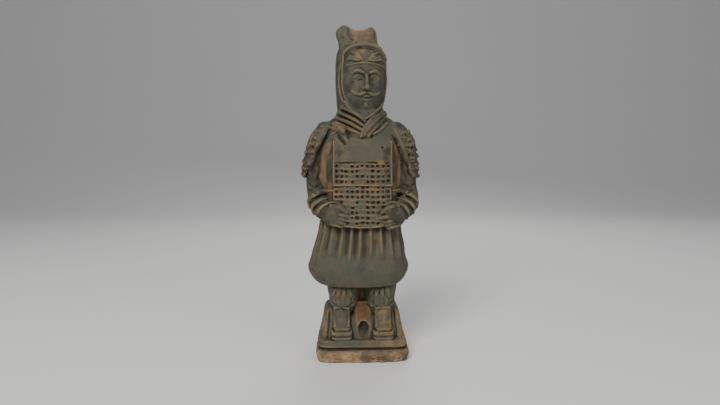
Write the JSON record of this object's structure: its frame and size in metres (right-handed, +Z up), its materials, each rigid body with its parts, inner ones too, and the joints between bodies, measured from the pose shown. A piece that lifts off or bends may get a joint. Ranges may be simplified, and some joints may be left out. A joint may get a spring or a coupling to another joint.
{
  "type": "terracotta warrior statuette",
  "caption": "Small moulded clay souvenir figure of an armoured ancient Chinese officer, hands folded at the belt, standing on its own footed block.",
  "frame": {"origin": "on the flat underside, below the middle of the figure's box", "axes": "+Z up through the figure's head, the figure faces -Y, +X is to the figure's left hand"},
  "size_m": [0.0586, 0.0418, 0.1602],
  "materials": {
    "fired_clay": "matt, grey slip rubbed over orange-brown clay"
  },
  "bodies": {
    "root": {"warrior": "fired_clay"}
  },
  "joints": []
}
